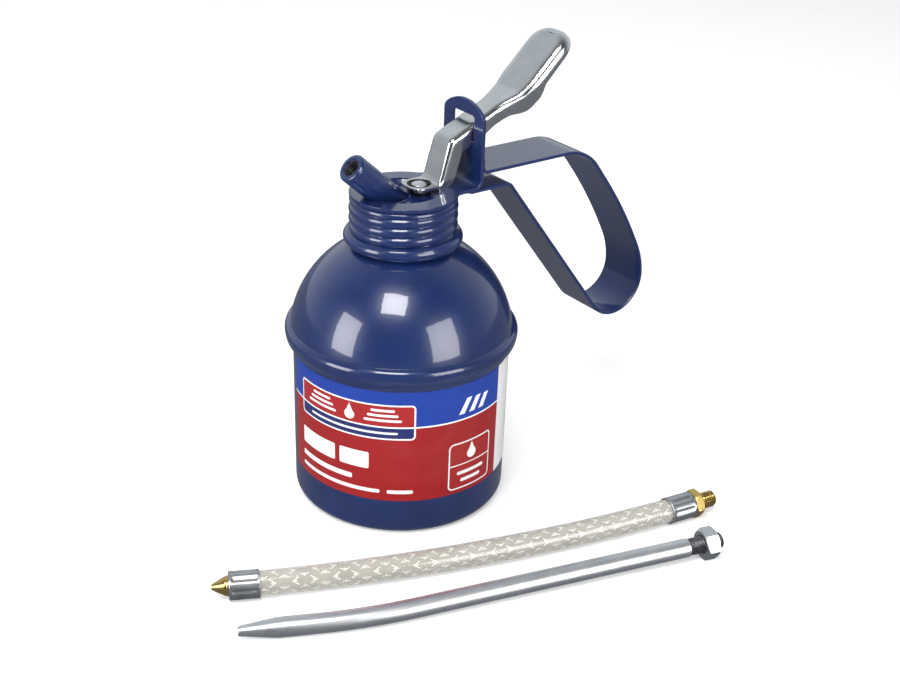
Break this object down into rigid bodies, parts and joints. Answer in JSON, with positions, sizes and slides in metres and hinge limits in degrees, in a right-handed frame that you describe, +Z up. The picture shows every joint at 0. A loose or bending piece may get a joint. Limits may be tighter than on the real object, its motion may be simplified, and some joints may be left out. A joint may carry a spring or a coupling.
{
  "type": "handy oiler can",
  "caption": "Round enamelled oil can with a thumb-lever pump on its screw cap, a strip-metal finger handle, a rigid spout and a braided flexible spout.",
  "frame": {"origin": "centre of the can's base, on the plane the can stands on", "axes": "+Z up the can's axis; +X from the can towards the handle; the outlet points towards -X; the loose spouts lie on the -Y side"},
  "size_m": [0.2012, 0.1461, 0.1602],
  "materials": {
    "blue_enamel": "deep blue glossy stove enamel",
    "label_print": "glossy printed label, red field with a blue band and white lines, no lettering",
    "gasket_rubber": "black oil-resistant rubber",
    "black_plastic": "black moulded plastic, satin",
    "nickel_plate": "bright nickel plate on pressed steel",
    "zinc_plate": "zinc-plated steel",
    "steel": "bare bright steel",
    "brass": "machined brass",
    "aluminium": "crimped aluminium, dull",
    "braided_hose": "clear plastic hose over a white diamond braid"
  },
  "bodies": {
    "can": {"can_cup": "blue_enamel", "can_dome": "blue_enamel", "can_label": "label_print"},
    "gasket": {"cap_gasket": "gasket_rubber"},
    "head": {"screw_cap": "blue_enamel", "fulcrum_bracket": "blue_enamel", "handle_strap": "blue_enamel", "outlet_spigot": "blue_enamel", "pump_head": "brass", "stem_gland": "black_plastic", "gland_packing": "gasket_rubber", "pump_barrel": "brass", "foot_valve_body": "brass", "foot_ball_pin": "steel", "suction_tube": "brass", "return_spring": "steel"},
    "lever": {"thumb_lever": "nickel_plate"},
    "plunger": {"plunger_rod": "steel", "piston": "brass", "piston_packing": "gasket_rubber"},
    "piston_ball": {"piston_ball": "steel"},
    "foot_ball": {"foot_ball": "steel"},
    "rigid_spout": {"rigid_spout_tube": "nickel_plate"},
    "locknut": {"rigid_spout_locknut": "zinc_plate"},
    "flex_spout": {"flex_hose_rear": "braided_hose", "rear_ferrule": "aluminium", "spout_connector": "brass"},
    "flex_front": {"flex_hose_front": "braided_hose", "front_ferrule": "aluminium", "spout_nozzle": "brass"}
  },
  "joints": [
    {"name": "cap_lift", "type": "slide", "parent": "can", "child": "gasket", "axis": [0, 0, 1], "range_m": [0, 0.0115]},
    {"name": "cap_turn", "type": "hinge", "parent": "gasket", "child": "head", "pos_m": [0, 0, 0.1118], "axis": [0, 0, 1], "range_deg": [0, 1260]},
    {"name": "lever_press", "type": "hinge", "parent": "head", "child": "lever", "pos_m": [0.02445, 0, 0.127], "axis": [0, 1, 0], "range_deg": [0, 14]},
    {"name": "plunger_lift", "type": "slide", "parent": "head", "child": "plunger", "axis": [0, 0, 1], "range_m": [0, 0.0058], "deforming": ["return_spring"]},
    {"name": "piston_ball_lift", "type": "slide", "parent": "plunger", "child": "piston_ball", "axis": [0, 0, 1], "range_m": [0, 0.0013]},
    {"name": "foot_ball_lift", "type": "slide", "parent": "head", "child": "foot_ball", "axis": [0, 0, 1], "range_m": [0, 0.0018]},
    {"name": "rigid_spout_lift", "type": "slide", "parent": "can", "child": "rigid_spout", "axis": [0, 0, 1], "range_m": [0, 0.12]},
    {"name": "locknut_travel", "type": "slide", "parent": "rigid_spout", "child": "locknut", "axis": [-0.9654, 0.2605, -0.0116], "range_m": [-0.002, 0.0045]},
    {"name": "flex_spout_lift", "type": "slide", "parent": "can", "child": "flex_spout", "axis": [0, 0, 1], "range_m": [0, 0.12]},
    {"name": "hose_bend", "type": "hinge", "parent": "flex_spout", "child": "flex_front", "pos_m": [-0.00909, -0.0602, 0.00482], "axis": [0.2922, 0.9563, 0], "range_deg": [0, 30]}
  ],
  "couplings": [
    {"joint": "cap_turn", "follows": "cap_lift", "rad_per_m": 1904},
    {"joint": "plunger_lift", "follows": "lever_press", "m_per_rad": 0.0232}
  ]
}
